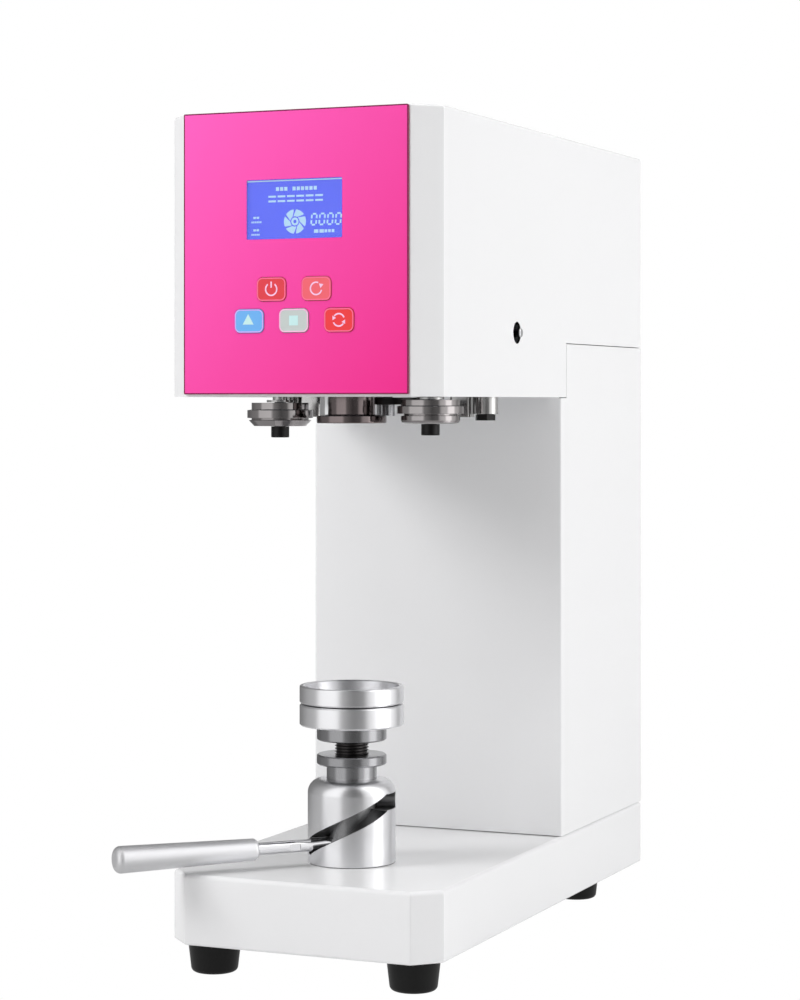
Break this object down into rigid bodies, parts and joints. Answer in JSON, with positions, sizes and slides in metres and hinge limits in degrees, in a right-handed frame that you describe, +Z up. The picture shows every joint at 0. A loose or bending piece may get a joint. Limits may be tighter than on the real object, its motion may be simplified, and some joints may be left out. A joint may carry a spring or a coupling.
{
  "type": "can seamer",
  "caption": "Bench-top electric can seamer with a lever-raised can tray, a driven chuck, two swinging seaming rollers, and a front panel with display and keys.",
  "frame": {"origin": "centre of the can cup's pocket floor with the lever at rest", "axes": "+Z up along the can's axis, -Y to the front panel, +X to the machine's right side as seen from the front"},
  "size_m": [0.221, 0.4781, 0.5842],
  "materials": {
    "white_powder": "gloss powder coat",
    "pink_panel": "gloss",
    "display_glass": "gloss",
    "display_module": "gloss",
    "circuit_board": "matte",
    "key_red": "gloss",
    "key_coral": "gloss",
    "key_blue": "gloss",
    "key_grey": "gloss",
    "key_bright_red": "gloss",
    "aluminium_satin": "satin turned",
    "steel_turned": "brushed",
    "steel_dark": "oiled",
    "steel_polished": "polished",
    "steel_plate": "zinc plated",
    "black_oxide": "black oxide",
    "rubber_black": "matte",
    "plastic_black": "matte",
    "motor_paint": "satin"
  },
  "bodies": {
    "frame": {"base_casing": "white_powder", "base_plate": "steel_plate", "stiffener_plate": "steel_plate", "foot_front_left": "rubber_black", "foot_front_right": "rubber_black", "foot_rear_left": "rubber_black", "foot_rear_right": "rubber_black", "base_screws": "black_oxide", "left_upright": "steel_plate", "right_upright": "steel_plate", "column_cover": "white_powder", "rear_cover": "white_powder", "head_casing": "white_powder", "head_plate": "steel_plate", "front_panel": "pink_panel", "lcd_window": "display_glass", "lcd_module": "display_module", "control_board": "circuit_board", "cam_barrel": "aluminium_satin", "power_inlet": "plastic_black", "power_supply": "steel_plate", "access_screw": "steel_polished", "spindle_housing": "aluminium_satin", "spindle_bearings": "steel_polished", "motor_body": "motor_paint", "drive_belt": "rubber_black", "pivot_bolts": "black_oxide", "cam_gearmotor": "motor_paint"},
    "lift": {"guide_ring": "steel_dark"},
    "lever": {"plunger": "steel_turned", "lever_rod": "steel_polished", "lever_grip": "aluminium_satin"},
    "nut": {"lock_nut": "steel_turned"},
    "race": {"thrust_bearing": "steel_polished"},
    "tray": {"height_stud": "steel_dark", "tray_hub": "steel_turned", "tray_base": "aluminium_satin"},
    "cup": {"can_cup": "aluminium_satin"},
    "spindle": {"spindle_shaft": "steel_polished", "seaming_chuck": "steel_polished", "chuck_screw": "black_oxide", "spindle_pulley": "aluminium_satin"},
    "motor": {"motor_shaft": "steel_turned", "motor_pulley": "aluminium_satin"},
    "cam": {"seaming_cam": "steel_dark", "cam_shaft": "steel_turned"},
    "left_lever_arm": {"left_arm": "steel_turned", "left_follower": "steel_polished", "left_roller_screw": "black_oxide"},
    "right_lever_arm": {"right_arm": "steel_turned", "right_follower": "steel_polished", "right_roller_screw": "black_oxide"},
    "left_seaming_roller": {"left_roller": "steel_polished"},
    "right_seaming_roller": {"right_roller": "steel_polished"},
    "rocker": {"switch_rocker": "plastic_black"},
    "key_power_cap": {"key_power": "key_red"},
    "key_clear_cap": {"key_clear": "key_coral"},
    "key_start_cap": {"key_start": "key_blue"},
    "key_stop_cap": {"key_stop": "key_grey"},
    "key_auto_cap": {"key_auto": "key_bright_red"}
  },
  "joints": [
    {"name": "lift_slide", "type": "slide", "parent": "frame", "child": "lift", "axis": [0, 0, 1], "range_m": [0, 0.0303]},
    {"name": "lever_swing", "type": "hinge", "parent": "lift", "child": "lever", "pos_m": [0, 0, -0.1029], "axis": [0, 0, 1], "range_deg": [0, 120]},
    {"name": "nut_slide", "type": "slide", "parent": "lever", "child": "nut", "axis": [0, 0, 1], "range_m": [0, 0.004]},
    {"name": "race_slide", "type": "slide", "parent": "lever", "child": "race", "axis": [0, 0, 1], "range_m": [-0.004, 0.022]},
    {"name": "tray_turn", "type": "hinge", "parent": "race", "child": "tray", "pos_m": [0, 0, -0.03], "axis": [0, 0, 1], "range_deg": [-720.1, 3960.1]},
    {"name": "cup_spin", "type": "hinge", "parent": "tray", "child": "cup", "pos_m": [0, 0, 0], "axis": [0, 0, 1], "continuous": true},
    {"name": "chuck_spin", "type": "hinge", "parent": "frame", "child": "spindle", "pos_m": [0, 0, 0.1919], "axis": [0, 0, 1], "continuous": true},
    {"name": "motor_spin", "type": "hinge", "parent": "frame", "child": "motor", "pos_m": [0, 0.132, 0.3], "axis": [0, 0, 1], "continuous": true},
    {"name": "cam_turn", "type": "hinge", "parent": "frame", "child": "cam", "pos_m": [0, 0.059, 0.199], "axis": [0, 0, -1], "range_deg": [0, 64]},
    {"name": "left_arm_swing", "type": "hinge", "parent": "frame", "child": "left_lever_arm", "pos_m": [-0.076, 0.061, 0.2], "axis": [0, 0, 1], "range_deg": [0, 10.96]},
    {"name": "right_arm_swing", "type": "hinge", "parent": "frame", "child": "right_lever_arm", "pos_m": [0.076, 0.061, 0.2], "axis": [0, 0, -1], "range_deg": [0, 10.96]},
    {"name": "left_roller_spin", "type": "hinge", "parent": "left_lever_arm", "child": "left_seaming_roller", "pos_m": [-0.0575, 0.0045, 0.195], "axis": [0, 0, 1], "continuous": true},
    {"name": "right_roller_spin", "type": "hinge", "parent": "right_lever_arm", "child": "right_seaming_roller", "pos_m": [0.0575, 0.0045, 0.197], "axis": [0, 0, 1], "continuous": true},
    {"name": "rocker_tilt", "type": "hinge", "parent": "frame", "child": "rocker", "pos_m": [0.052, 0.341, -0.0413], "axis": [1, 0, 0], "range_deg": [0, 12]},
    {"name": "key_power_press", "type": "slide", "parent": "frame", "child": "key_power_cap", "axis": [0, 1, 0], "range_m": [0, 0.0005], "stiffness_N_per_m": 1500},
    {"name": "key_clear_press", "type": "slide", "parent": "frame", "child": "key_clear_cap", "axis": [0, 1, 0], "range_m": [0, 0.0005], "stiffness_N_per_m": 1500},
    {"name": "key_start_press", "type": "slide", "parent": "frame", "child": "key_start_cap", "axis": [0, 1, 0], "range_m": [0, 0.0005], "stiffness_N_per_m": 1500},
    {"name": "key_stop_press", "type": "slide", "parent": "frame", "child": "key_stop_cap", "axis": [0, 1, 0], "range_m": [0, 0.0005], "stiffness_N_per_m": 1500},
    {"name": "key_auto_press", "type": "slide", "parent": "frame", "child": "key_auto_cap", "axis": [0, 1, 0], "range_m": [0, 0.0005], "stiffness_N_per_m": 1500}
  ],
  "couplings": [
    {"joint": "lift_slide", "follows": "lever_swing", "m_per_rad": 0.014467},
    {"joint": "tray_turn", "follows": "race_slide", "rad_per_m": 3141.6},
    {"joint": "motor_spin", "follows": "chuck_spin", "ratio": 2},
    {"joint": "left_arm_swing", "follows": "cam_turn", "ratio": 0.1704}
  ]
}
